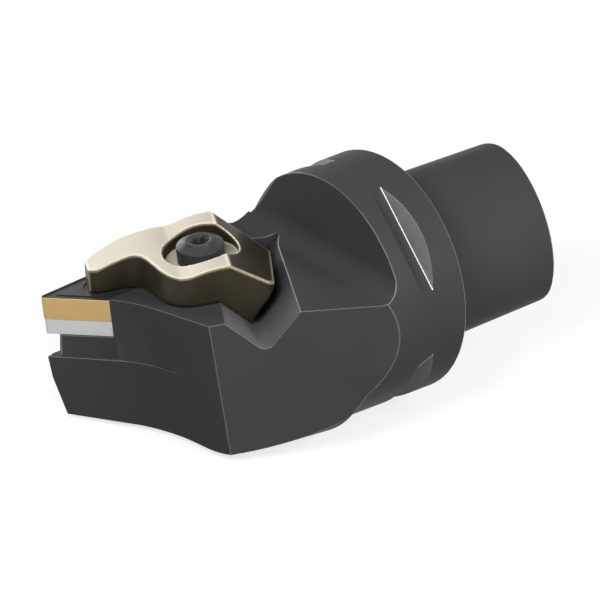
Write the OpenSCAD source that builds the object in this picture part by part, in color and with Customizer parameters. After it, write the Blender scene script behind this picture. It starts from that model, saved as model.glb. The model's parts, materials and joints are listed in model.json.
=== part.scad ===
// Left-hand turning tool holder for a 55 degree insert: a head with a top clamp,
// a flange with gripper slots and a three-lobed taper shank.
// Origin: on the shank's axis at the flange face. +X runs out along the shank,
// +Y to the side of the cutting corner, +Z up. All sizes are in millimetres.

/* [Taper shank] */
// Mean diameter of the three-lobed taper at the flange face
taper_d = 35; // [34:0.5:38]
// Swell of each lobe over the mean circle
lobe = 1.12; // [0.8:0.02:1.3]
// Length of the shank
shank_l = 30; // [27:1:34]
// The taper is one in this many
taper_ratio = 20; // [16:1:25]
// Chamfer on the shank's end
shank_chamfer = 1; // [0.7:0.1:1.3]

/* [Drawbar bore] */
// Diameter of the drawbar bore
bore_d = 21; // [20:0.5:22]
// How far the bore reaches past the flange face
bore_past = 4; // [3:0.5:6]
// Where the gripping groove starts, from the flange face
groove_at = 13; // [11:0.5:14]
// Width of the gripping groove
groove_w = 6; // [4:0.5:7]
// Depth of the gripping groove
groove_depth = 1.6; // [1:0.1:2]
// Chamfer at the bore's mouth
mouth_chamfer = 1.2; // [0.6:0.1:1.6]
// Core diameter of the thread at the bottom of the bore
thread_d = 16; // [14:0.5:17]
// Length of that thread core
thread_l = 9; // [7:0.5:11]

/* [Flange] */
// Diameter of the flange and of the neck behind the head
flange_d = 50; // [48:0.5:52]
// Thickness of the flange
flange_w = 16.4; // [15:0.2:18]
// Chamfer on the flange's edges
flange_chamfer = 0.5; // [0.2:0.1:0.8]
// Distance of the gripper slots' floor from the axis
slot_floor = 22.1; // [21.6:0.1:22.8]
// Distance from the flange face to the middle of a slot
slot_at = 9.5; // [9:0.1:10]
// Width of a slot's floor
slot_w = 2.6; // [2:0.1:3.2]
// Angle of a slot's walls from the upright
slot_wall = 33; // [28:1:38]
// Radius of the scoop between the flange and the head's top
scoop_r = 4.6; // [3.5:0.1:6]
// Distance from the axis to the flat on the flange's far corner
corner_flat = 23.9; // [23.6:0.1:24.3]
// Direction of that flat, up from level
corner_angle = 33.6; // [30:0.2:38]

/* [Neck] */
// Distance from the flange face to the start of the flare
flare_at = 23.5; // [21:0.5:25]
// Length of the flare
flare_l = 3; // [2:0.5:4]
// Diameter at the top of the flare
flare_d = 52.6; // [51.5:0.1:53.5]
// Diameter of the neck's cone at the front face
front_d = 49.2; // [48:0.1:50.5]

/* [Head] */
// Length of the tool from the flange face to the cutting nose
tool_l = 62; // [60:0.5:64]
// Reach of the cutting nose to the side of the axis
tool_f = 35; // [34.5:0.25:36]
// Height of the sharp corner against the axis
nose_z = -0.2; // [-0.4:0.1:0.2]
// Height of the head's rear top face
rear_top_z = 7.6; // [7:0.1:8.2]
// Depth of the flat bottom below the axis
bottom_z = 25; // [24:0.25:25]
// Distance of the far side from the axis
far_y = 32.5; // [32:0.1:33]
// Depth where the far side starts to draw in
far_break_1 = 12; // [10:0.5:14]
// Depth of the second break on the far side
far_break_2 = 17.2; // [16:0.2:19]
// How far the far side draws in at the second break
far_in_1 = 1; // [0.5:0.1:1.5]
// How far the far side draws in at the bottom
far_in_2 = 3.7; // [3:0.1:4.5]
// Length of the far side's straight stretch, back from the nose
far_straight = 24; // [22:0.5:26]
// Distance from the axis to the far side at the flange
far_rear_y = 22.5; // [21.5:0.25:23.5]
// Slope of the turned cone that draws the head's block in to the neck
block_cone = 50; // [40:1:60]
// Distance from the flange face to the front face, on the axis
front_at = 50.8; // [49.5:0.1:52]
// How far the front face leans back below
front_lean = 7.1; // [5:0.1:9]
// How far the front face turns towards the near side
front_turn = 4.4; // [3:0.1:6]
// Distance from the axis to the slanting near face
near_face = 30.5; // [29.5:0.1:31.5]
// Fall of the head's front top face towards the far side
top_fall = 7.24; // [6.5:0.02:8]
// Rise of the head's front top face towards the shank
top_rise = 3.7; // [3:0.1:4.4]
// How far the lip below the seat stands out
lip_out = 0.9; // [0.6:0.05:1.4]
// Height of the lip at the nose, against the axis
lip_z = -12.5; // [-13:0.1:-12]
// Rise of the lip's top away from the nose
lip_rise = 5.6; // [4:0.1:8]
// How far the seat is cut back under the insert's corner
nose_cut = 4.7; // [3.5:0.1:5.5]
// Radius of the hollow between the nose and the front face
hollow_r = 32; // [24:1:40]

/* [Clamp notch] */
// Place of the notch's lowest line along the clamp
notch_at = 29.5; // [29.2:0.1:29.8]
// Height of the notch's lowest line, before it is rounded
notch_z = -1.1; // [-1.4:0.1:-0.8]
// Slope of the notch's front wall
notch_front = 40; // [39:0.2:41]
// Slope of the notch's rear wall
notch_rear = 52; // [50:0.5:54]
// Radius at the bottom of the notch
notch_r = 2; // [1.6:0.1:2.3]
// Where the notch ends, to the far side of the clamp frame's axis
notch_end = 2.4; // [2:0.1:3]

/* [Insert] */
// Included angle of the cutting corner
corner = 55; // [54:0.5:56]
// Angle that the leading edge gives away to the side
lead = 3; // [2:0.5:4]
// Diameter of the circle that the insert's sides touch
ic = 12.7; // [12.3:0.1:13]
// Thickness of the insert
insert_t = 4.76; // [4.4:0.02:5]
// Nose radius of the insert
nose_r = 0.8; // [0.6:0.1:1.2]
// Diameter of the insert's hole
insert_hole = 5.16; // [4.9:0.02:5.4]
// Width of the chip groove along the insert's edges
groove_chip = 1.4; // [1.1:0.1:1.6]
// Depth of the chip groove
chip_depth = 0.2; // [0.1:0.05:0.3]
// Width of the land between the edge and the chip groove
land_w = 0.3; // [0.2:0.05:0.5]
// Diameter of the shallow ring round the insert's hole
ring_d = 8.4; // [7.8:0.1:8.6]
// Fall of the insert towards the far side
seat_fall = 5.2; // [4.8:0.1:5.6]
// Rise of the insert towards the shank
seat_rise = 4.7; // [4.3:0.1:5.1]

/* [Shim] */
// Thickness of the shim under the insert
shim_t = 3.4; // [3:0.1:3.8]
// How far the shim's sides stand in from the insert's
shim_in = 0.15; // [0.1:0.05:0.3]
// Head diameter of the shim screw
shim_head_d = 6.4; // [6:0.1:7]
// Depth of the shim screw's conical head
shim_head_h = 1.6; // [1.3:0.1:1.8]
// Thread diameter of the shim screw
shim_thread_d = 3.5; // [3:0.1:4]
// Length of the shim screw below the shim
shim_screw_l = 7; // [5:0.5:9]

/* [Clamp] */
// Place of the finger's tip along the clamp
tip_at = 61.7; // [61.2:0.1:62.2]
// Place of the clamp's rear end
tail_at = 26.2; // [25.9:0.1:26.8]
// Reach of the clamp's near side
clamp_near = 20.4; // [19.8:0.1:21]
// Reach of the clamp's far side
clamp_far = 4; // [3.6:0.1:4.4]
// Near edge of the finger
finger_near = 4.5; // [4:0.1:5]
// Far edge of the finger at its tip
finger_far = 1.7; // [1.2:0.1:2.2]
// Height of the clamp's back
back_z = 13.8; // [13.4:0.1:14.2]
// Height of the finger's tip
finger_z = 5.8; // [5.4:0.1:6.2]
// Slope of the tail's rear face
tail_slope = 28.5; // [27:0.5:30]
// Height of the tail's V-shaped foot
foot_z = 0.3; // [0.2:0.05:0.6]
// Gap between the clamp and the head's front top face
clamp_gap = 0.3; // [0.2:0.05:0.4]
// Diameter of the nub that enters the insert's hole
nub_d = 3.8; // [3.4:0.1:4]
// Length of the nub
nub_l = 1.8; // [1.4:0.1:2.2]

/* [Clamp screw] */
// Place of the screw head's top along the clamp
screw_at = 39.8; // [39.4:0.1:40.2]
// Distance of the screw from the clamp frame's axis
screw_near = 8.2; // [7.8:0.1:8.6]
// Height of the screw head's top
screw_z = 13.9; // [13.6:0.1:14.2]
// How far the screw leans towards the cutting corner
screw_lean = 6; // [4:0.5:8]
// Diameter of the screw's head
head_d = 9.8; // [9:0.1:10.4]
// Height of the screw's head
head_h = 4.6; // [4.3:0.1:4.9]
// Height of the head's conical crown
crown_h = 1.2; // [0.9:0.1:1.4]
// Diameter of the flat on the crown
crown_d = 5.5; // [5.2:0.1:6]
// Thread diameter of the screw
screw_d = 6; // [5.5:0.1:6.2]
// Length of the screw below its head
screw_l = 20; // [17:0.5:23]
// Diameter of the hollow round the screw's head
dish_d = 15.4; // [14.6:0.1:15.8]
// Size of the six-lobed socket
socket_d = 3.9; // [3.4:0.1:4.4]
// Depth of the socket
socket_h = 2; // [1.6:0.1:2.2]
// Radial clearance of the screw in its hole
screw_clear = 0.05; // [0.03:0.01:0.08]

/* [Lift spring] */
// Wire diameter of the lift spring
wire_d = 0.8; // [0.6:0.1:0.9]
// Mean diameter of the lift spring
spring_d = 7.8; // [7.6:0.1:8]
// Number of coils
coils = 4; // [3:0.5:4.5]
// Length of the spring when the clamp is down
spring_l = 5.4; // [5:0.1:5.8]
// Thickness of the clamp between the screw head and the spring
web_t = 3.2; // [2.8:0.1:3.6]

/* [Hidden] */

$fn = 96;
far = 80;
eps = 0.01;

// The clamp and the insert's long diagonal lie at this angle to the shank.
turn = lead + corner / 2;
edge_l = ic / sin(corner);
nose_back = nose_r / sin(corner / 2);
// Sharp corner of the insert, where the two edges would meet.
tip = [-tool_l + nose_r - nose_back * cos(turn), tool_f - nose_r + nose_back * sin(turn), nose_z];
// Direction of the flank that the head's nose face is flush with, and its distance.
flank = 90 - lead - corner;
flank_at = -(tip.x * cos(flank) + tip.y * sin(flank));
floor_t = insert_t + shim_t;
diag = edge_l * cos(corner / 2);
// The tip in the clamp frame, along the clamp.
tip_d = tip.x * cos(turn) - tip.y * sin(turn);
neck_r = flange_d / 2;
taper_r = taper_d / 2;
end_scale = 1 - shank_l / taper_ratio / taper_d;
recess_r = spring_d / 2 + wire_d / 2 + 0.5;
spring_from = head_h + web_t;
// Half the angle between the notch's walls, and how far its round runs up them.
notch_half = (180 - notch_front - notch_rear) / 2;
notch_run = notch_r / tan(notch_half);
// Room left past the end of a hole, so that nothing ends face to face.
past = 1;

// Frames

// Along the clamp: x runs back from the cutting corner, y to the far side.
module clamp_frame() {
    rotate([0, 0, -turn]) children();
}

// On the insert's top: x runs from the cutting corner to the corner opposite.
module seat_frame() {
    translate(tip) rotate([-seat_fall, -seat_rise, 0]) rotate([0, 0, -turn]) children();
}

// On the screw's axis: z runs down from the head's top.
module screw_frame() {
    clamp_frame() translate([-screw_at, -screw_near, screw_z])
        rotate([0, 180 - screw_lean, 0]) children();
}

// A profile in x and z, drawn in the plane and carried along y.
module side_extrude(from, to) {
    translate([0, to, 0]) rotate([90, 0, 0]) linear_extrude(to - from) children();
}

// Everything above the plane of the head's front top, raised by lift.
module above_front_top(lift) {
    translate([tip.x, tip.y, tip.z + lift]) rotate([-top_fall, -top_rise, 0])
        translate([-far / 2, -1.5 * far, 0]) cube([2 * far, 2 * far, far]);
}

module below_front_top(lift) {
    translate([tip.x, tip.y, tip.z + lift]) rotate([-top_fall, -top_rise, 0])
        translate([-far / 2, -1.5 * far, -far]) cube([2 * far, 2 * far, far]);
}

// Shank and flange

function lobed(a) = [
    taper_r * cos(a) - 2 * lobe * cos(2 * a) + lobe * cos(4 * a),
    taper_r * sin(a) + 2 * lobe * sin(2 * a) + lobe * sin(4 * a)
];

module taper_shank() {
    steps = 90;
    rings = [[-2, 1], [0, 1], [shank_l - shank_chamfer, end_scale],
             [shank_l, end_scale - shank_chamfer / taper_r]];
    points = [for (r = rings, i = [0 : steps - 1])
        let (p = lobed(i * 360 / steps) * r[1]) [r[0], p.y, -p.x]];
    last = (len(rings) - 1) * steps;
    sides = [for (k = [0 : len(rings) - 2], i = [0 : steps - 1])
        let (a = k * steps, j = (i + 1) % steps) [a + j, a + i, a + steps + i, a + steps + j]];
    polyhedron(points, concat([[for (i = [0 : steps - 1]) i]], sides,
        [[for (i = [steps - 1 : -1 : 0]) last + i]]), convexity = 4);
}

// The turned outline: flange, neck, flare and the cone under the head.
module turned_body() {
    c = flange_chamfer;
    rotate([0, -90, 0]) rotate_extrude($fn = 180) polygon([
        [0, 0], [neck_r - c, 0], [neck_r, c], [neck_r, flare_at],
        [flare_d / 2, flare_at + flare_l], [front_d / 2, front_at + 3], [0, front_at + 3]]);
}

module drawbar_bore() {
    r = bore_d / 2;
    g = groove_depth;
    m = mouth_chamfer;
    rotate([0, 90, 0]) translate([0, 0, -bore_past]) cylinder(r = r, h = bore_past + shank_l + 1);
    rotate([0, 90, 0]) rotate_extrude() polygon([
        [r - 1, groove_at - 1], [r + g, groove_at + g], [r + g, groove_at + groove_w],
        [r - 1, groove_at + groove_w + g + 1]]);
    rotate([0, 90, 0]) translate([0, 0, shank_l - m])
        cylinder(r1 = r, r2 = r + m + 0.5, h = m + 0.5);
    rotate([0, -90, 0]) translate([0, 0, bore_past - 1]) cylinder(d = thread_d, h = thread_l + 1);
    rotate([0, -90, 0]) translate([0, 0, bore_past + thread_l - eps])
        cylinder(d1 = thread_d, d2 = 0, h = thread_d / 2 * tan(31));
}

// Four slots for the tool changer's gripper, square to the radius.
module gripper_slots() {
    deep = 6;
    spread = deep * tan(slot_wall);
    for (a = [45 : 90 : 315])
        rotate([a, 0, 0]) translate([-slot_at, 0, slot_floor]) side_extrude(-far / 2, far / 2)
            polygon([[-slot_w / 2, 0], [slot_w / 2, 0],
                     [slot_w / 2 + spread, deep], [-slot_w / 2 - spread, deep]]);
}

// Head

module behind_nose_face(out) {
    rotate([0, 0, flank]) translate([-flank_at - out, -far, -far]) cube([far, 2 * far, 2 * far]);
}

module behind_front_face() {
    translate([-front_at, 0, 0]) rotate([0, -front_lean, front_turn])
        translate([0, -far, -far]) cube([far, 2 * far, 2 * far]);
}

// Rounds the hollow where the nose face, moved out, meets the front face.
module hollow_fillet(out) {
    // The bend's direction, which both faces hold.
    bend = cross([cos(flank), sin(flank), 0],
        [cos(front_lean) * cos(front_turn), cos(front_lean) * sin(front_turn), sin(front_lean)]);
    up = bend / norm(bend) * sign(bend.z);
    // Where the bend crosses the level of the axis.
    at = flank_at + out;
    det = cos(flank) * sin(front_turn) - sin(flank) * cos(front_turn);
    p = [(-at * sin(front_turn) + front_at * cos(front_turn) * sin(flank)) / det,
         (-front_at * cos(front_turn) * cos(flank) + at * cos(front_turn)) / det];
    gap = flank - front_turn;
    touch = hollow_r * tan(gap / 2) * [-sin(gap / 2), cos(gap / 2)];
    translate([p.x, p.y, 0]) rotate([-asin(up.y), atan2(up.x, up.z), 0])
        rotate([0, 0, (flank + front_turn) / 2])
        translate([0, 0, -far / 2]) linear_extrude(far) difference() {
            polygon([[0.6, 0], touch, [touch.x, -touch.y]]);
            translate([-hollow_r / cos(gap / 2), 0]) circle(hollow_r, $fn = 360);
        }
}

// The block under the seat, on the far side of the axis.
module head_block(out) {
    y0 = far_y;
    intersection() {
        translate([-tool_l - 5, 0, 0]) rotate([90, 0, 90]) linear_extrude(tool_l + 5 - flange_w / 2)
            polygon([[0, -bottom_z], [y0 - far_in_2, -bottom_z], [y0 - far_in_1, -far_break_2],
                     [y0, -far_break_1], [y0, rear_top_z + 1], [0, rear_top_z + 1]]);
        translate([0, 0, -bottom_z - 1]) linear_extrude(far)
            polygon([[-tool_l - 5, 0], [-flange_w / 2, 0], [-flange_w / 2, far_rear_y],
                     [-flange_w - 2, far_rear_y], [-tool_l + far_straight, far_y],
                     [-tool_l - 5, far_y]]);
        behind_nose_face(out);
        // A turned cone draws the block's lower corner in to the neck.
        rotate([0, -90, 0]) rotate_extrude($fn = 180) polygon([
            [0, 0], [neck_r - 0.1, 0], [neck_r - 0.1, flange_w + 1], [neck_r + 0.4, flare_at - 2],
            [neck_r + 30, flare_at - 2 + 30 * tan(block_cone)], [neck_r + 30, far], [0, far]]);
    }
}

// The lip that stands out below the seat. Its top rises away from the nose, and it runs out
// where the hollow meets the front face.
module lip() {
    nose_at = flank_at * tan(flank) + far_y / cos(flank);
    intersection() {
        union() {
            head_block(lip_out);
            intersection() {
                head_block(hollow_r);
                hollow_fillet(lip_out);
            }
        }
        rotate([0, 0, flank]) translate([0, nose_at, lip_z]) rotate([-lip_rise, 0, 0])
            translate([-far, -2 * far, -far]) cube([2 * far, 3 * far, far]);
    }
}

// What is open above the head, with the scoop up to the flange.
module above_head() {
    z1 = rear_top_z + scoop_r;
    side_extrude(-far / 2, far / 2) union() {
        translate([-far - flange_w, z1]) square([far, far]);
        translate([-far - flange_w - scoop_r, rear_top_z]) square([far, far]);
        translate([-flange_w - scoop_r, z1]) circle(scoop_r);
    }
}

// Beyond the slanting face on the near side.
module near_cut() {
    clamp_frame() translate([-far, -near_face - far, -far]) cube([far + 8, far, 2 * far]);
}

// The notch's outline along the clamp, with its round bottom.
module notch_profile(up_front, up_rear) {
    v = [-notch_at, notch_z];
    front = [-cos(notch_front), sin(notch_front)];
    rear = [cos(notch_rear), sin(notch_rear)];
    mid = front + rear;
    polygon([v + front * up_front, v + front * notch_run, v + rear * notch_run, v + rear * up_rear]);
    translate(v + mid / norm(mid) * notch_r / sin(notch_half)) circle(notch_r, $fn = 48);
}

module notch() {
    clamp_frame() side_extrude(-far, notch_end) notch_profile(18, 12);
}

// In front of the notch's lowest line the top slopes with the insert.
module front_top_cut() {
    intersection() {
        above_front_top(0);
        clamp_frame() translate([-notch_at - 2 - 2 * far, -far, -far / 2])
            cube([2 * far, 2 * far, far]);
    }
}

// Pocket for the shim and the insert, with a relief at its inner corner.
module pocket() {
    big = 2 * edge_l;
    a = corner / 2;
    seat_frame() {
        translate([2 * diag, 0, -floor_t]) linear_extrude(far / 2) polygon([
            [0, 0], [-big * cos(a), big * sin(a)], [-2 * big * cos(a), 0],
            [-big * cos(a), -big * sin(a)]]);
        translate([2 * diag - 0.4, 0, -floor_t]) cylinder(r = 1, h = far / 2, $fn = 32);
    }
}

// The seat is cut back under the cutting corner, above the lip.
module nose_relief() {
    intersection() {
        clamp_frame() translate([tip_d + nose_cut - far, -far, -far / 2]) cube([far, 2 * far, far]);
        translate([-far, 0, lip_z + 0.2]) cube([far, far, far]);
    }
}

// The flat on the flange's far corner, leaning back from the front face.
module corner_flat_cut() {
    deep = 3;
    rotate([corner_angle, 0, 0]) translate([-flange_w, corner_flat, -far / 2]) linear_extrude(far)
        polygon([[0, 0], [deep, deep], [-1, deep], [-1, 0]]);
}

module holder_body() {
    color([0.20, 0.20, 0.21]) difference() {
        union() {
            taper_shank();
            difference() {
                union() {
                    intersection() {
                        turned_body();
                        behind_front_face();
                    }
                    difference() {
                        head_block(0);
                        nose_relief();
                    }
                    intersection() {
                        head_block(hollow_r);
                        union() {
                            behind_front_face();
                            hollow_fillet(0);
                        }
                    }
                    lip();
                }
                near_cut();
                above_head();
            }
        }
        front_top_cut();
        notch();
        pocket();
        corner_flat_cut();
        gripper_slots();
        drawbar_bore();
        screw_frame() {
            cylinder(d = screw_d + 2 * screw_clear, h = head_h + screw_l + 2 * past);
            cylinder(r = recess_r, h = spring_from + spring_l + 0.1);
        }
        seat_frame() translate([diag, 0, -floor_t - shim_screw_l - past])
            cylinder(d = shim_thread_d + 2 * screw_clear, h = shim_screw_l + 2 * past, $fn = 48);
    }
}

// Insert and shim

// A rhomb with round corners, seen from above, its sides set in.
module rhomb(inset) {
    a = corner / 2;
    r = max(nose_r - inset, 0.3);
    half = (ic / 2 - inset) / sin(a) - r / sin(a);
    wide = (ic / 2 - inset) / cos(a) - r / cos(a);
    // Each corner: its centre, its direction and half the angle of its arc.
    corners = [
        [[half, 0], 0, 90 - a], [[0, wide], 90, a],
        [[-half, 0], 180, 90 - a], [[0, -wide], 270, a]];
    translate([diag, 0]) polygon([for (c = corners, k = [-1 : 0.25 : 1])
        let (t = c[1] + k * c[2]) c[0] + r * [cos(t), sin(t)]]);
}

module insert() {
    color([0.79, 0.64, 0.36]) seat_frame() difference() {
        translate([0, 0, -insert_t]) linear_extrude(insert_t) rhomb(0);
        translate([diag, 0, -insert_t - past]) cylinder(d = insert_hole, h = insert_t + 2 * past, $fn = 64);
        // Both sides can be used, so both have the chip groove and the ring.
        for (z = [-chip_depth, -insert_t - past]) translate([0, 0, z]) {
            linear_extrude(chip_depth + past) difference() {
                rhomb(land_w);
                rhomb(land_w + groove_chip);
            }
            translate([diag, 0, 0]) cylinder(d = ring_d, h = chip_depth + past, $fn = 96);
        }
    }
}

module shim() {
    color([0.80, 0.81, 0.83]) seat_frame() difference() {
        translate([0, 0, -floor_t]) linear_extrude(shim_t) rhomb(shim_in);
        translate([diag, 0, -floor_t - past])
            cylinder(d = shim_thread_d + 0.6, h = shim_t + 2 * past, $fn = 48);
        translate([diag, 0, -insert_t - shim_head_h])
            cylinder(d1 = shim_thread_d + 0.6, d2 = shim_head_d + 0.1, h = shim_head_h, $fn = 48);
    }
}

module shim_screw() {
    low = insert_t + 0.1;
    color([0.35, 0.35, 0.37]) seat_frame() translate([diag, 0, 0]) difference() {
        union() {
            translate([0, 0, -floor_t - shim_screw_l])
                cylinder(d = shim_thread_d, h = shim_screw_l + shim_t - 0.1, $fn = 48);
            translate([0, 0, -low - shim_head_h])
                cylinder(d1 = shim_thread_d, d2 = shim_head_d - 0.1, h = shim_head_h, $fn = 48);
        }
        translate([0, 0, -low - 1.2]) linear_extrude(3) socket(2.2);
    }
}

// Clamp

function bezier(a, b, c, d, n) = [for (i = [0 : n]) let (t = i / n, s = 1 - t)
    a * s * s * s + b * 3 * s * s * t + c * 3 * s * t * t + d * t * t * t];

// Seen from above: a narrow finger that sweeps out to the wide body.
module clamp_plan() {
    neck_at = tip_at - 7.2;
    wide_at = tip_at - 20.2;
    // The tail is drawn to a blunt point behind the screw, and slants off on the far side.
    point_at = tail_at - 1.5;
    point_y = -4.3;
    slant_at = tail_at + 10;
    tip_bevel = 1.6;
    tail_bevel = 1.2;
    polygon(concat(
        [[-tip_at + tip_bevel, -finger_near]],
        bezier([-neck_at, -finger_near], [-neck_at + 6.5, -finger_near],
            [-wide_at - 10, -clamp_near], [-wide_at, -clamp_near], 20),
        [[-tail_at - tail_bevel, -clamp_near], [-tail_at, -clamp_near + tail_bevel],
         [-point_at, point_y], [-slant_at, clamp_far], [-neck_at, clamp_far]],
        bezier([-neck_at - 2, clamp_far - 0.4], [-neck_at - 5, clamp_far - 1.2],
            [-tip_at, finger_far + 0.5], [-tip_at, finger_far - 0.8], 8),
        [[-tip_at, -finger_near + tip_bevel]]));
}

// Seen from the side: the back rises from the finger and falls to the tail.
module clamp_side() {
    back_at = tail_at + 9.2;
    end_z = back_z - (back_at - tail_at) * tan(tail_slope);
    // The foot rests on the notch's front wall, just above its round bottom.
    foot_at = notch_at + notch_run * cos(notch_front) + 0.2;
    // How far the profile runs on below the insert and behind the tail, for the plan to trim.
    below = -6;
    over = 2;
    polygon(concat(
        [[-tip_at + 0.9, below]],
        bezier([-tip_at, finger_z], [-tip_at + 5, finger_z + 2.6],
            [-tip_at + 11, back_z - 2.8], [-screw_at - 5.5, back_z - 2.7], 16),
        bezier([-screw_at - 4, back_z - 2.2], [-screw_at - 1, back_z - 0.9],
            [-screw_at + 1, back_z - 0.3], [-back_at, back_z], 8),
        [[-tail_at + over, end_z - over * tan(tail_slope)], [-tail_at + over, end_z - 2.2],
         [-tail_at, end_z - 1.2], [-foot_at, foot_z], [-foot_at, below]]));
}

// What the clamp stands clear of: the front top, the notch's front wall and end.
// Over the insert's front half the finger reaches lower and touches it.
module clamp_seat() {
    intersection() {
        below_front_top(clamp_gap);
        clamp_frame() {
            translate([-notch_at, 0, notch_z + eps]) rotate([0, notch_front, 0])
                translate([-far, -far, -far]) cube([2 * far, 2 * far, far]);
            translate([-notch_at - 8, notch_end - 0.4, -far / 2]) cube([20, 20, far]);
        }
        union() {
            clamp_frame() translate([-tip_at + 11.7, -far, -far]) cube([far, 2 * far, 2 * far]);
            difference() {
                translate([-far, -far, -far]) cube([2 * far, 2 * far, 2 * far]);
                pocket();
            }
        }
    }
}

module clamp() {
    color([0.80, 0.76, 0.68]) difference() {
        union() {
            difference() {
                intersection() {
                    clamp_frame() translate([0, 0, -10]) linear_extrude(40) clamp_plan();
                    clamp_frame() side_extrude(-far / 2, far / 2) clamp_side();
                }
                clamp_seat();
                seat_frame() translate([-5, -20, -20]) cube([30, 40, 20]);
            }
            seat_frame() translate([diag, 0, -nub_l]) cylinder(d = nub_d, h = nub_l + 1, $fn = 48);
        }
        screw_frame() {
            translate([0, 0, -far / 2]) cylinder(d = dish_d, h = far / 2 + head_h);
            cylinder(d = screw_d + 0.6, h = far / 2);
            translate([0, 0, spring_from]) cylinder(r = recess_r, h = far / 2);
        }
    }
}

// A six-lobed socket, seen along the screw.
module socket(size) {
    lobe_r = size * 0.11;
    circle(size * 0.38, $fn = 32);
    for (a = [0 : 60 : 300]) rotate(a) translate([size / 2 - lobe_r, 0]) circle(lobe_r, $fn = 16);
}

module clamp_screw() {
    color([0.22, 0.22, 0.23]) screw_frame() difference() {
        union() {
            cylinder(d1 = crown_d, d2 = head_d, h = crown_h);
            translate([0, 0, crown_h]) cylinder(d = head_d, h = head_h - crown_h);
            cylinder(d = screw_d, h = head_h + screw_l - 0.6);
            translate([0, 0, head_h + screw_l - 0.6])
                cylinder(d1 = screw_d, d2 = screw_d - 1.2, h = 0.6);
        }
        translate([0, 0, -1]) linear_extrude(1 + socket_h) socket(socket_d);
        translate([0, 0, -eps]) cylinder(d1 = socket_d + 0.6, d2 = socket_d - 0.4, h = 0.5);
    }
}

// The spring that lifts the clamp off the insert, round the screw.
module lift_spring() {
    per_coil = 16;
    sides = 8;
    n = round(coils * per_coil);
    r = wire_d / 2;
    rise = spring_l - wire_d - 0.1;
    points = [for (i = [0 : n], k = [0 : sides - 1])
        let (a = i * 360 / per_coil, b = k * 360 / sides, q = spring_d / 2 + r * cos(b))
        [q * cos(a), q * sin(a), r * sin(b) + rise * i / n]];
    walls = [for (i = [0 : n - 1], k = [0 : sides - 1])
        let (a = i * sides, b = a + sides, j = (k + 1) % sides) [a + k, b + k, b + j, a + j]];
    color([0.6, 0.6, 0.62]) screw_frame() translate([0, 0, spring_from + r + 0.05])
        polyhedron(points, concat([[for (k = [0 : sides - 1]) k]], walls,
            [[for (k = [sides - 1 : -1 : 0]) n * sides + k]]), convexity = 8);
}

holder_body();
shim();
shim_screw();
insert();
clamp();
clamp_screw();
lift_spring();
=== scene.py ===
# %% [markdown]
# # Turning tool holder
#
# A lathe tool: a black steel body with a three-lobed taper shank, and a gold coated insert
# held on a pale shim by a screw-down clamp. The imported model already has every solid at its
# true size and place. This lesson dresses those solids: it rounds their edges, gives each
# steel its own finish, and lights them as in a product photograph.

import json
import math

import bmesh
import bpy
from mathutils import Matrix, Vector, kdtree

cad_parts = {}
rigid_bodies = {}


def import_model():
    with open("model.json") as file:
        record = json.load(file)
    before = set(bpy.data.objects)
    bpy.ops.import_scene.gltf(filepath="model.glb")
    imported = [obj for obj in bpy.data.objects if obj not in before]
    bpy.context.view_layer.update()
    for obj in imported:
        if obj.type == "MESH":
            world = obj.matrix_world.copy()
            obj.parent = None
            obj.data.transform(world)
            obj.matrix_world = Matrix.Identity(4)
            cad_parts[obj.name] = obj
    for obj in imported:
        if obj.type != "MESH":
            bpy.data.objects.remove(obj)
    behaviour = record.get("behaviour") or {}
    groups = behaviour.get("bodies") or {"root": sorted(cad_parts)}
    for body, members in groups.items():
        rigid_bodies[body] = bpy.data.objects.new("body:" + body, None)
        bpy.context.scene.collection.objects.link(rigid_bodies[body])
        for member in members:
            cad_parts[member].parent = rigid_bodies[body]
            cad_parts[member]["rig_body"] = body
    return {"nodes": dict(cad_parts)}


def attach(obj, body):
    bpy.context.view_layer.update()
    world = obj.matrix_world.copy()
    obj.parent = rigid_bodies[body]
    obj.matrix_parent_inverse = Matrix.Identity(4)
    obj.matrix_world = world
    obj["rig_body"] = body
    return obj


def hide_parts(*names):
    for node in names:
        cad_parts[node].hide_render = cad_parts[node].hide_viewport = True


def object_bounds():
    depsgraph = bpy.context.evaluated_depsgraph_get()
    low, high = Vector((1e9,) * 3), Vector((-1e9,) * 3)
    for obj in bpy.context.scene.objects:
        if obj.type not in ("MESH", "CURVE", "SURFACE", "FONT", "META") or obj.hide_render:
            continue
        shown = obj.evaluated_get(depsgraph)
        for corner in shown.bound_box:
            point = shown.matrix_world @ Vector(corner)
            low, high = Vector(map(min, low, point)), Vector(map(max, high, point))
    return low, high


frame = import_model()
cad_low, cad_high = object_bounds()
scene = bpy.context.scene
MM = 0.001
print("solids:", ", ".join(frame["nodes"]))

# %% [markdown]
# ## Directions on the tool
#
# The clamp and the insert's long diagonal lie at an angle to the shank, and the insert's top
# is tilted two ways. Three directions say this once, and the finishes further down use them
# to tell a top from a side. `TIP` is the sharp corner where the insert's two cutting edges
# would meet.

# %%
CLAMP_TURN = math.radians(30.5)
SEAT_FALL = math.radians(5.2)
SEAT_RISE = math.radians(4.7)
NOSE_RADIUS = 0.8 * MM
HALF_CORNER = math.radians(27.5)
INSERT_THICK = 4.76 * MM
UP = Vector((0, 0, 1))
ALONG = Vector((math.cos(CLAMP_TURN), -math.sin(CLAMP_TURN), 0))
SEAT_UP = Matrix.Rotation(-SEAT_RISE, 3, "Y") @ Matrix.Rotation(-SEAT_FALL, 3, "X") @ UP
NOSE_MIDDLE = Vector((-0.062 + NOSE_RADIUS, 0.035 - NOSE_RADIUS, -0.0002))
TIP = NOSE_MIDDLE - ALONG * (NOSE_RADIUS / math.sin(HALF_CORNER))

# %% [markdown]
# ## Camera
#
# The photograph was drawn with no perspective, so the camera is orthographic. Its turn and
# tilt come from the ellipses of the round flange, and its scale from the flange's known
# diameter. `ORIGIN_PIXEL` is where the model's origin falls in the 600 by 600 picture.

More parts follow.
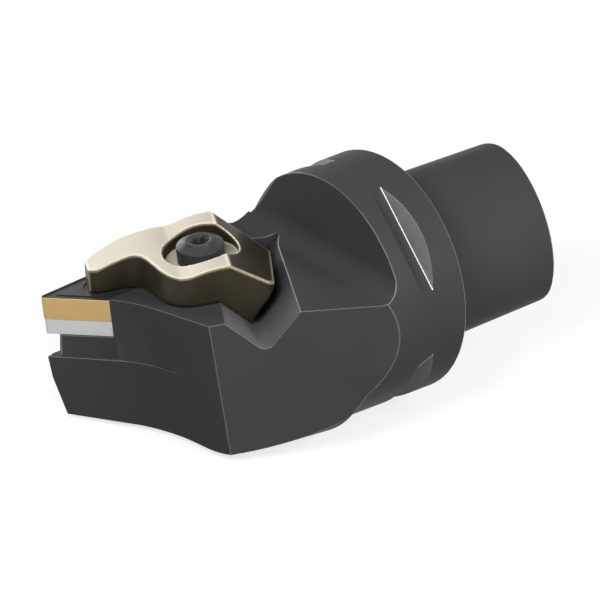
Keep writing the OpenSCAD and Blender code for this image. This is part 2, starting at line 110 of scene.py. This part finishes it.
# %%
AZIMUTH = math.radians(39.4)
ELEVATION = math.radians(27.65)
PIXELS = 600
PIXELS_PER_MM = 4.98
ORIGIN_PIXEL = (388.24, 266.97)
CAMERA_DISTANCE = 0.6


def view_axes(azimuth, elevation):
    """The camera's right, up and backward directions."""
    ca, sa = math.cos(azimuth), math.sin(azimuth)
    ce, se = math.cos(elevation), math.sin(elevation)
    right = Vector((ca, -sa, 0))
    up = Vector((sa * se, ca * se, ce))
    back = Vector((-sa * ce, -ca * ce, se))
    return right, up, back


def add_camera():
    right, up, back = view_axes(AZIMUTH, ELEVATION)
    middle = (PIXELS - 1) / 2
    aim = right * (middle - ORIGIN_PIXEL[0]) - up * (middle - ORIGIN_PIXEL[1])
    aim *= MM / PIXELS_PER_MM
    data = bpy.data.cameras.new("camera")
    data.type = "ORTHO"
    data.ortho_scale = PIXELS / PIXELS_PER_MM * MM
    data.clip_start = 0.01
    data.clip_end = 5
    camera = bpy.data.objects.new("camera", data)
    turn = Matrix((right, up, back)).transposed().to_4x4()
    camera.matrix_world = Matrix.Translation(aim + back * CAMERA_DISTANCE) @ turn
    scene.collection.objects.link(camera)
    scene.camera = camera
    print("camera looks at", [round(v / MM, 1) for v in aim], "mm")


add_camera()

# %% [markdown]
# ## A short way to write materials
#
# A finish here is a Principled shader with a few texture nodes. They could be wired by hand
# in the shader editor, but a small class keeps each finish to a few readable lines. All
# textures read the object's own coordinates, so a finish stays on its piece in every view.


# %%
class Finish:
    """A material with a Principled shader, and helpers for the nodes that feed it."""

    def __init__(self, name, metallic=0.0, specular=0.5):
        self.material = bpy.data.materials.new(name)
        self.material.use_nodes = True
        self.tree = self.material.node_tree
        self.shader = self.tree.nodes["Principled BSDF"]
        self.shader.inputs["Metallic"].default_value = metallic
        self.shader.inputs["Specular IOR Level"].default_value = specular
        self.coords = self.node("ShaderNodeTexCoord").outputs["Object"]

    def node(self, kind, **settings):
        node = self.tree.nodes.new(kind)
        for key, value in settings.items():
            setattr(node, key, value)
        return node

    def link(self, source, target):
        self.tree.links.new(source, target)

    def noise(self, scale, detail=4, stretch=(1, 1, 1)):
        """A cloudy value. A stretch of more than 1 squeezes it along that axis."""
        mapping = self.node("ShaderNodeMapping")
        mapping.inputs["Scale"].default_value = stretch
        self.link(self.coords, mapping.inputs["Vector"])
        cloud = self.node("ShaderNodeTexNoise")
        cloud.inputs["Scale"].default_value = scale
        cloud.inputs["Detail"].default_value = detail
        self.link(mapping.outputs["Vector"], cloud.inputs["Vector"])
        return cloud.outputs["Fac"]

    def ramp(self, value, start, end, low=0.0, high=1.0, kind="LINEAR"):
        """Maps start..end of a value to low..high."""
        node = self.node("ShaderNodeMapRange", interpolation_type=kind)
        for name, number in (
            ("From Min", start),
            ("From Max", end),
            ("To Min", low),
            ("To Max", high),
        ):
            node.inputs[name].default_value = number
        self.link(value, node.inputs["Value"])
        return node.outputs["Result"]

    def mix(self, factor, a, b):
        """Mixes two colours. Each is a colour or a socket."""
        node = self.node("ShaderNodeMix", data_type="RGBA")
        self.link(factor, node.inputs["Factor"])
        # The node has inputs for other kinds too. Numbers 6 and 7 are its two colours.
        for socket, colour in ((node.inputs[6], a), (node.inputs[7], b)):
            if isinstance(colour, bpy.types.NodeSocket):
                self.link(colour, socket)
            else:
                socket.default_value = (*colour, 1)
        return node.outputs[2]

    def facing(self, direction, start, end):
        """0 to 1 as the surface turns to face a direction of the object."""
        node = self.node("ShaderNodeVectorMath", operation="DOT_PRODUCT")
        self.link(self.node("ShaderNodeTexCoord").outputs["Normal"], node.inputs[0])
        node.inputs[1].default_value = Vector(direction).normalized()
        return self.ramp(node.outputs["Value"], start, end, kind="SMOOTHSTEP")

    def along(self, direction):
        """How far a point of the object lies along a direction, in metres."""
        node = self.node("ShaderNodeVectorMath", operation="DOT_PRODUCT")
        self.link(self.coords, node.inputs[0])
        node.inputs[1].default_value = Vector(direction).normalized()
        return node.outputs["Value"]

    def attribute(self, name):
        """A value that the mesh keeps at its points."""
        return self.node("ShaderNodeAttribute", attribute_name=name).outputs["Fac"]

    def bump(self, height, strength, distance):
        node = self.node("ShaderNodeBump")
        node.inputs["Strength"].default_value = strength
        node.inputs["Distance"].default_value = distance
        self.link(height, node.inputs["Height"])
        self.link(node.outputs["Normal"], self.shader.inputs["Normal"])

    def done(self, colour, rough):
        """Connects the colour and the roughness, and gives the material."""
        self.link(colour, self.shader.inputs["Base Color"])
        self.link(rough, self.shader.inputs["Roughness"])
        return self.material


# %% [markdown]
# ## The black body
#
# The body is milled steel with a black oxide coat: nearly black, satin, a little cloudy where
# the bath took unevenly. On its outer edges a light line is painted: a painted highlight,
# together with wear where the coat is thin. Those lines could come from the Pointiness node,
# but it reads the mesh's points, and a large flat face has none. So the edge is a finish of its
# own, which the bevels will carry.
#
# Three more greys on the body are painted light. The notch's walls are painted lighter towards
# the near side. In the gripper slots one wall is painted lighter, and its inner corner gets a
# nearly white painted highlight. Further down, these finishes go on faces that are picked by
# their place and direction.


# %%
NEAR_SIDE = Vector((-0.508, -0.862, 0.0))


def black_oxide():
    f = Finish("black_steel", specular=0.03)
    cloud = f.noise(70, 5)
    grain = f.noise(2600, 3)
    f.bump(grain, 0.10, 0.00004)
    colour = f.mix(cloud, (0.0330, 0.0334, 0.0337), (0.0430, 0.0435, 0.0440))
    return f.done(colour, f.ramp(cloud, 0.3, 0.7, 0.40, 0.50))


# Painted highlight and wear: a lighter grey on the bevels of the outer edges.
def edge_wear_and_highlight():
    f = Finish("black_steel_edge_wear_and_highlight", metallic=0.2)
    tone_noise = f.noise(900, 3)
    colour = f.mix(tone_noise, (0.044, 0.0445, 0.0455), (0.085, 0.086, 0.088))
    return f.done(colour, f.ramp(tone_noise, 0.3, 0.7, 0.34, 0.46))


def painted_light_steel(name, low, high):
    """Painted light on steel, from a darker to a lighter grey, a little blue."""
    f = Finish(name, metallic=0.2)
    tone_noise = f.noise(700, 4)
    colour = f.mix(tone_noise, (low, low, low * 1.03), (high, high, high * 1.03))
    return f.done(colour, f.ramp(tone_noise, 0.3, 0.7, 0.34, 0.46))


def notch_painted_light():
    """The notch's walls, painted lighter towards the near side."""
    f = Finish("black_steel_notch_painted_light", specular=0.03)
    # Painted light: a gradient from darker to lighter grey towards the near side.
    light = f.ramp(f.along(NEAR_SIDE), 12 * MM, 30 * MM, kind="SMOOTHSTEP")
    colour = f.mix(light, (0.028, 0.0282, 0.0285), (0.105, 0.104, 0.105))
    return f.done(colour, f.ramp(f.noise(300, 3), 0.3, 0.7, 0.38, 0.46))


# %% [markdown]
# ## The clamp
#
# The clamp is a forging with a champagne coloured plating. Its back, the faces that look up and
# forward, is painted pale as lit, and its sides are painted dark bronze as shaded. One material
# does both, since the surface's direction tells them apart. Along the upper edges a light rim
# is painted as a highlight. The mesh will carry each point's distance to the nearest edge, in
# millimetres, and the rim reads that.


# %%
def champagne_clamp():
    f = Finish("clamp_steel", metallic=0.2, specular=0.2)
    cloud = f.noise(150, 5)
    # Painted light: faces that look up and forward get the lit pale colour, and the others the
    # shaded bronze.
    back = f.facing(UP * 0.9 - ALONG * 0.45, 0.66, 0.80)
    pale = f.mix(cloud, (0.40, 0.365, 0.295), (0.47, 0.43, 0.35))
    bronze = f.mix(cloud, (0.017, 0.0135, 0.0072), (0.026, 0.0205, 0.011))
    # Painted highlight: a light rim along the upper edges, lighter still where it faces up.
    rim_highlight = f.mix(back, (0.20, 0.175, 0.12), (0.60, 0.55, 0.45))
    rim = f.ramp(f.attribute("edge_distance"), 0.75, 0.25, kind="SMOOTHSTEP")
    colour = f.mix(rim, f.mix(back, bronze, pale), rim_highlight)
    f.bump(f.noise(1800, 3), 0.14, 0.00004)
    return f.done(colour, f.ramp(cloud, 0.3, 0.7, 0.34, 0.46))


# %% [markdown]
# ## Insert, shim, screws and spring
#
# The insert's flanks are gold coated and its top has a charcoal coat, ground off at the very
# edge; that gold edge is painted lighter than the flanks, as a highlight. The shim is bare
# ground carbide with fine grinding lines. The screws are blackened, and the spring is bright
# drawn wire.


# %%
def gold_coat():
    f = Finish("insert_carbide", metallic=0.3)
    cloud = f.noise(220, 4)
    lines = f.noise(700, 2, stretch=(1, 1, 9))
    f.bump(lines, 0.10, 0.00003)
    colour = f.mix(cloud, (0.39, 0.260, 0.094), (0.47, 0.322, 0.134))
    return f.done(colour, f.ramp(cloud, 0.3, 0.7, 0.34, 0.46))


def charcoal_coat():
    f = Finish("insert_top", specular=0.15)
    cloud = f.noise(400, 4)
    f.bump(f.noise(3400, 2), 0.12, 0.00003)
    colour = f.mix(cloud, (0.017, 0.016, 0.015), (0.026, 0.024, 0.023))
    return f.done(colour, f.ramp(cloud, 0.3, 0.7, 0.42, 0.54))


# Painted highlight: a gold lighter than the flanks, on the rounded cutting edge.
def gold_edge_highlight():
    f = Finish("insert_edge_highlight", metallic=0.3)
    tone_noise = f.noise(900, 3)
    colour = f.mix(tone_noise, (0.52, 0.36, 0.15), (0.64, 0.47, 0.23))
    return f.done(colour, f.ramp(tone_noise, 0.3, 0.7, 0.30, 0.40))


def ground_carbide():
    f = Finish("shim_carbide", metallic=0.2)
    lines = f.noise(500, 3, stretch=(1, 1, 14))
    f.bump(lines, 0.10, 0.00003)
    colour = f.mix(lines, (0.41, 0.41, 0.415), (0.50, 0.50, 0.505))
    return f.done(colour, f.ramp(lines, 0.3, 0.7, 0.34, 0.46))


def dark_screw():
    f = Finish("screw_steel", specular=0.15)
    cloud = f.noise(300, 4)
    f.bump(f.noise(3000, 2), 0.12, 0.00003)
    colour = f.mix(cloud, (0.022, 0.023, 0.023), (0.034, 0.035, 0.035))
    return f.done(colour, f.ramp(cloud, 0.3, 0.7, 0.34, 0.46))


def spring_wire():
    f = Finish("spring_steel", metallic=0.8)
    lines = f.noise(900, 3)
    f.bump(lines, 0.1, 0.00002)
    colour = f.mix(lines, (0.25, 0.25, 0.26), (0.42, 0.42, 0.43))
    return f.done(colour, f.ramp(lines, 0.3, 0.7, 0.25, 0.40))


BLACK, BLACK_EDGE_HIGHLIGHT = black_oxide(), edge_wear_and_highlight()
GOLD, CHARCOAL, GOLD_EDGE_HIGHLIGHT = gold_coat(), charcoal_coat(), gold_edge_highlight()
SCREW = dark_screw()
print("finishes:", len(bpy.data.materials))

# %% [markdown]
# ## A copy to work on
#
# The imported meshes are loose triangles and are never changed. Each piece starts as a merged
# copy of its node, which stands for that node and moves with its body. Merging the points
# first is what lets a bevel see which faces share an edge.


# %%
MERGE = 0.004 * MM


def finished_copy(node, name, *materials):
    source = frame["nodes"][node]
    piece = bpy.data.objects.new(name, source.data.copy())
    scene.collection.objects.link(piece)
    with_bmesh(piece, merge)
    dress(piece, *materials)
    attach(piece, source["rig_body"])
    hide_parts(node)
    return piece


def with_bmesh(piece, work):
    """Runs a function on the piece's mesh and writes the result back."""
    bm = bmesh.new()
    bm.from_mesh(piece.data)
    work(bm)
    bm.to_mesh(piece.data)
    bm.free()


def merge(bm):
    bmesh.ops.remove_doubles(bm, verts=bm.verts, dist=MERGE)
    bmesh.ops.dissolve_degenerate(bm, edges=bm.edges, dist=MERGE)
    bmesh.ops.dissolve_limit(
        bm, angle_limit=math.radians(0.5), verts=bm.verts, edges=bm.edges
    )


def dress(piece, *materials):
    piece.data.materials.clear()
    for material in materials:
        piece.data.materials.append(material)


# %% [markdown]
# ## Rounded edges
#
# No machined edge is perfectly sharp, and the small round is what catches the light. The Bevel
# modifier with an angle limit would do for one finish. The bmesh operator is used instead,
# because it can give the new faces a material of their own.
#
# Where two surfaces of a solid nearly coincide, a hair-thin face can fold back over the next
# one. It looks like a very sharp edge and would get a bright line, so folds are closed first
# and never count as edges. These functions take widths in millimetres and angles in degrees.


# %%
FOLD = 160
FOLD_WIDTH = 0.3 * MM


def close_folds(bm):
    """Draws each hair-thin folded face together across its width."""
    limit = math.radians(FOLD)
    folds = [e for e in bm.edges if e.is_manifold and e.calc_face_angle(0) > limit]
    thin = {min(e.link_faces, key=lambda face: face.calc_area()) for e in folds}
    short = [e for e in bm.edges if e.calc_length() < FOLD_WIDTH]
    short = [e for e in short if any(face in thin for face in e.link_faces)]
    bmesh.ops.collapse(bm, edges=short, uvs=False)


def sharp_edges(bm, angle):
    """The outer edges that turn by more than an angle, but not so far as a fold."""
    low, high = math.radians(angle), math.radians(FOLD)
    found = [e for e in bm.edges if e.is_manifold and e.is_convex]
    return [e for e in found if low < e.calc_face_angle(0) < high]


def round_edges(bm, edges, width, material=-1, segments=2):
    """Bevels edges. A material of -1 leaves the new faces like their neighbours."""
    bmesh.ops.bevel(
        bm,
        geom=edges,
        offset=width * MM,
        segments=segments,
        profile=0.5,
        affect="EDGES",
        clamp_overlap=False,
        material=material,
    )
    print("rounded", len(edges), "edges, faces now", len(bm.faces))


def shade(piece, angle=34):
    """Smooth over the curves, flat over the flats."""
    piece.data.shade_smooth()
    piece.data.set_sharp_from_angle(angle=math.radians(angle))
    weighted = piece.modifiers.new("weighted", "WEIGHTED_NORMAL")
    weighted.keep_sharp = True


# %% [markdown]
# ## The body's slots
#
# Four gripper slots lie round the flange, on the diagonals. The wall on the shank's side has
# painted light, a lighter grey, and its inner corner a painted highlight, nearly white. The
# three tests below tell a slot's parts by place. X runs out along the shank.

# %%
SLOT_START = -15.0 * MM
SLOT_CORNER = -8.2 * MM
SLOT_WALL_END = -5.0 * MM
SLOT_FLOOR = 22.1 * MM
CLOSE = 0.05 * MM


def out_in_slot(point):
    """True at or beyond the height of a slot's floor over the shank's axis."""
    return (abs(point.y) + abs(point.z)) / math.sqrt(2) > SLOT_FLOOR - CLOSE


def in_slot_corner(edge):
    ends = [v.co for v in edge.verts]
    return all(out_in_slot(p) and abs(p.x - SLOT_CORNER) < CLOSE for p in ends)


def in_slot_wall(face):
    spans = all(SLOT_CORNER - CLOSE < v.co.x < SLOT_WALL_END for v in face.verts)
    looks_ahead = -0.95 < face.normal.x < -0.6
    return spans and looks_ahead and out_in_slot(face.calc_center_median())


# %% [markdown]
# ## The body's notch
#
# The V-shaped notch under the clamp runs level towards the near side. Its two walls are found
# by their directions. From them the search walks over the narrow strips that make up the
# round floor: they are small, and their normals are square to the notch's run.

# %%
NOTCH_FRONT = Vector((0.554, -0.326, 0.766))
NOTCH_REAR = Vector((-0.679, 0.400, 0.616))
SAME_WAY = 0.999
SQUARE = 0.01
STRIP_AREA = 12 * MM * MM


def is_notch_wall(face):
    return max(face.normal.dot(NOTCH_FRONT), face.normal.dot(NOTCH_REAR)) > SAME_WAY


def is_strip(face):
    return face.calc_area() < STRIP_AREA and abs(face.normal.dot(NEAR_SIDE)) < SQUARE


def notch_faces(bm):
    """The two walls and the floor between them."""
    found = [face for face in bm.faces if is_notch_wall(face)]
    for face in found:
        for other in [f for e in face.edges for f in e.link_faces]:
            if is_strip(other) and other not in found:
                found.append(other)
    return found


# %% [markdown]
# ## The body, finished
#
# Every outer edge of the body gets a light line, painted highlight and wear, but for the slots'
# other edges and the end of the shank, which stay black. The order matters: faces are picked
# before a bevel moves their points.

# %%
SHANK_END = 28.0 * MM
BODY_EDGE_ANGLE = 24
LINE_WIDTH = 0.16
CORNER_WIDTH = 0.12
PLAIN_WIDTH = 0.10
LOOK_EDGE_HIGHLIGHT, LOOK_SLOT_WALL_PAINTED_LIGHT, LOOK_SLOT_CORNER_HIGHLIGHT, LOOK_NOTCH_PAINTED_LIGHT = 1, 2, 3, 4


def is_unlined(edge):
    ends = [v.co for v in edge.verts]
    in_slot = all(out_in_slot(p) and SLOT_START < p.x < SLOT_WALL_END for p in ends)
    return in_slot or all(p.x > SHANK_END for p in ends)


def finish_body(bm):
    close_folds(bm)
    for face in bm.faces:
        if in_slot_wall(face):
            face.material_index = LOOK_SLOT_WALL_PAINTED_LIGHT
    for face in notch_faces(bm):
        face.material_index = LOOK_NOTCH_PAINTED_LIGHT
    corners = [e for e in bm.edges if in_slot_corner(e)]
    round_edges(bm, corners, CORNER_WIDTH, material=LOOK_SLOT_CORNER_HIGHLIGHT, segments=1)
    sharp = sharp_edges(bm, BODY_EDGE_ANGLE)
    plain = [e for e in sharp if is_unlined(e)]
    lined = [e for e in sharp if e not in plain]
    round_edges(bm, lined, LINE_WIDTH, material=LOOK_EDGE_HIGHLIGHT)
    round_edges(bm, [e for e in plain if e.is_valid], PLAIN_WIDTH)


# Painted light: one slot wall a lighter grey, and the slot's inner corner a nearly white
# painted highlight.
SLOT_WALL_PAINTED_LIGHT = painted_light_steel("black_steel_slot_wall_painted_light", 0.055, 0.085)
SLOT_CORNER_HIGHLIGHT = painted_light_steel("black_steel_slot_corner_highlight", 0.38, 0.55)
BODY_LOOKS = (BLACK, BLACK_EDGE_HIGHLIGHT, SLOT_WALL_PAINTED_LIGHT, SLOT_CORNER_HIGHLIGHT, notch_painted_light())
body = finished_copy("holder_body", "body_finish", *BODY_LOOKS)
with_bmesh(body, finish_body)
shade(body)

# %% [markdown]
# ## Insert
#
# A flank is a face that spans most of the insert's thickness. All other faces get the charcoal
# coat. Then the outer edge, which a flank shares with the top or the bottom, is rounded in a
# lighter gold, a painted highlight.

# %%
LOOK_CHARCOAL, LOOK_GOLD_EDGE_HIGHLIGHT = 1, 2
CUTTING_EDGE_WIDTH = 0.07


def seat_height(point):
    """Height over the insert's top, square to it."""
    return (point - TIP).dot(SEAT_UP)


def is_flank(face):
    heights = [seat_height(v.co) for v in face.verts]
    return max(heights) - min(heights) > INSERT_THICK / 2


def finish_insert(bm):
    for face in bm.faces:
        if not is_flank(face):
            face.material_index = LOOK_CHARCOAL
    outer = []
    for edge in bm.edges:
        sides = [is_flank(face) for face in edge.link_faces]
        if len(sides) == 2 and sides[0] != sides[1] and edge.is_convex:
            outer.append(edge)
    round_edges(bm, outer, CUTTING_EDGE_WIDTH, material=LOOK_GOLD_EDGE_HIGHLIGHT)


insert = finished_copy("insert", "insert_finish", GOLD, CHARCOAL, GOLD_EDGE_HIGHLIGHT)
with_bmesh(insert, finish_insert)
shade(insert)

# %% [markdown]
# ## Shim and clamp screw
#
# Both are small turned or ground pieces, so they only need their sharp edges broken.

# %%
SMALL_EDGE_ANGLE = 20


def break_edges(width):
    """Gives a function that breaks the sharp edges of a mesh by a width."""
    return lambda bm: round_edges(bm, sharp_edges(bm, SMALL_EDGE_ANGLE), width)


shim = finished_copy("shim", "shim_finish", ground_carbide())
with_bmesh(shim, break_edges(0.10))
shade(shim)
screw = finished_copy("clamp_screw", "clamp_screw_finish", SCREW)
with_bmesh(screw, break_edges(0.12))
shade(screw)

# %% [markdown]
# ## Clamp
#
# The forging is soft everywhere, more than a bevel gives. A voxel remesh spreads even quads
# over it, and smoothing them rounds every edge alike. Before that, the sharp edges of the
# solid are noted, so that afterwards each point can be told its distance to the nearest one.

# %%
RIM_HIGHLIGHT_UP = 0.4
FINGER_TIP = -60.8 * MM
CLAMP_EDGE_ANGLE = 28
POINT_STEP = 0.2 * MM
VOXEL = 0.24 * MM
SMOOTH_ROUNDS = 8


def gets_rim_highlight(edge):
    """True where a face beside the edge looks up, and at the finger's tip."""
    up = max(face.normal.z for face in edge.link_faces)
    middle = (edge.verts[0].co + edge.verts[1].co) / 2
    at_tip = middle.dot(ALONG) < FINGER_TIP
    return up > RIM_HIGHLIGHT_UP or (at_tip and up > -RIM_HIGHLIGHT_UP)


def edge_tree(mesh):
    """A search tree of points along the sharp edges that get the painted rim highlight."""
    bm = bmesh.new()
    bm.from_mesh(mesh)
    points = []
    for edge in filter(gets_rim_highlight, sharp_edges(bm, CLAMP_EDGE_ANGLE)):
        a, b = (v.co for v in edge.verts)
        count = max(1, round((b - a).length / POINT_STEP))
        points += [a.lerp(b, i / count) for i in range(count + 1)]
    bm.free()
    tree = kdtree.KDTree(len(points))
    for i, point in enumerate(points):
        tree.insert(point, i)
    tree.balance()
    print("edge points:", len(points))
    return tree


def soften(piece):
    """Remeshes a piece and rounds its edges by smoothing."""
    remesh = piece.modifiers.new("remesh", "REMESH")
    remesh.mode = "VOXEL"
    remesh.voxel_size = VOXEL
    smooth = piece.modifiers.new("smooth", "SMOOTH")
    smooth.factor = 0.5
    smooth.iterations = SMOOTH_ROUNDS
    graph = bpy.context.evaluated_depsgraph_get()
    soft = bpy.data.meshes.new_from_object(piece.evaluated_get(graph))
    piece.modifiers.clear()
    piece.data = soft
    soft.shade_smooth()


def keep_distance(mesh, tree):
    """Writes each point's distance to the nearest edge, in millimetres."""
    store = mesh.attributes.new("edge_distance", "FLOAT", "POINT")
    store.data.foreach_set("value", [tree.find(v.co)[2] / MM for v in mesh.vertices])


clamp = finished_copy("clamp", "clamp_finish")
clamp_edges = edge_tree(clamp.data)
soften(clamp)
keep_distance(clamp.data, clamp_edges)
dress(clamp, champagne_clamp())
print("clamp points:", len(clamp.data.vertices))

# %% [markdown]
# ## Hidden pieces
#
# The shim's screw and the lift spring sit inside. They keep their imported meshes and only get
# their finishes.

# %%
dress(frame["nodes"]["shim_screw"], SCREW)
dress(frame["nodes"]["lift_spring"], spring_wire())

# %% [markdown]
# ## Floor, background and light
#
# The picture is on plain white. More light would bleach the tool as well, so the floor and
# the world are white only to the camera and in reflections, by the Light Path node, and
# light the tool at a plain level. The floor's glow there leaves room for a faint shadow, and
# from below the floor is clear, so that the underside can be looked at too. A small lamp
# stands close over the cutting corner, a wider one on the near side, and a low one behind.

# %%
FLOOR_SIZE = 3.0
FLOOR_GREY = (0.28, 0.28, 0.28)
FLOOR_BOUNCE = (0.1, 0.1, 0.1)
FLOOR_GLOW = 0.73
AIM = Vector((-0.02, 0.0, 0.0))


def seen_directly(tree):
    """1 for camera, glossy and transmitted rays, and 0 for the light that falls on the tool."""
    path = tree.nodes.new("ShaderNodeLightPath")
    seen = path.outputs["Is Camera Ray"]
    for name in ("Is Glossy Ray", "Is Transmission Ray"):
        either = tree.nodes.new("ShaderNodeMath")
        either.operation = "MAXIMUM"
        tree.links.new(seen, either.inputs[0])
        tree.links.new(path.outputs[name], either.inputs[1])
        seen = either.outputs[0]
    return seen


def add_world(strength):
    """A world that lights the tool softly and is white where it is seen."""
    world = bpy.data.worlds.new("world")
    world.use_nodes = True
    tree = world.node_tree
    soft = tree.nodes["Background"]
    soft.inputs["Color"].default_value = (0.98, 0.99, 1.0, 1)
    soft.inputs["Strength"].default_value = strength
    white = tree.nodes.new("ShaderNodeBackground")
    white.inputs["Color"].default_value = (1, 1, 1, 1)
    mix = tree.nodes.new("ShaderNodeMixShader")
    tree.links.new(seen_directly(tree), mix.inputs[0])
    tree.links.new(soft.outputs[0], mix.inputs[1])
    tree.links.new(white.outputs[0], mix.inputs[2])
    tree.links.new(mix.outputs[0], tree.nodes["World Output"].inputs["Surface"])
    scene.world = world


def add_floor():
    """A floor under the tool, on which a faint shadow falls."""
    mesh = bpy.data.meshes.new("floor")
    bm = bmesh.new()
    bmesh.ops.create_grid(bm, x_segments=1, y_segments=1, size=FLOOR_SIZE / 2)
    bm.to_mesh(mesh)
    bm.free()
    floor = bpy.data.objects.new("floor", mesh)
    floor.location = (0, 0, cad_low.z)
    scene.collection.objects.link(floor)
    f = Finish("floor", specular=0.0)
    f.shader.inputs["Roughness"].default_value = 0.7
    seen = seen_directly(f.tree)
    f.link(f.mix(seen, FLOOR_BOUNCE, FLOOR_GREY), f.shader.inputs["Base Color"])
    f.shader.inputs["Emission Color"].default_value = (1, 1, 1, 1)
    f.link(f.ramp(seen, 0, 1, 0, FLOOR_GLOW), f.shader.inputs["Emission Strength"])
    sides = f.node("ShaderNodeMixShader")
    f.link(f.node("ShaderNodeNewGeometry").outputs["Backfacing"], sides.inputs[0])
    f.link(f.shader.outputs[0], sides.inputs[1])
    f.link(f.node("ShaderNodeBsdfTransparent").outputs[0], sides.inputs[2])
    f.link(sides.outputs[0], f.tree.nodes["Material Output"].inputs["Surface"])
    dress(floor, f.material)


def add_lamp(name, place, size, power):
    """A square soft lamp that points at the tool. place is in metres."""
    data = bpy.data.lights.new(name, "AREA")
    data.shape = "SQUARE"
    data.size = size
    data.energy = power
    lamp = bpy.data.objects.new(name, data)
    lamp.location = place
    lamp.rotation_euler = (AIM - Vector(place)).to_track_quat("-Z", "Y").to_euler()
    scene.collection.objects.link(lamp)


add_world(0.18)
add_floor()
add_lamp("key", (-0.30, -0.13, 0.27), 0.20, 1.8)
add_lamp("side", (0.10, -0.48, 0.24), 0.30, 3.4)
add_lamp("back", (0.05, 0.60, 0.10), 0.45, 2.4)
scene.view_settings.view_transform = "Standard"
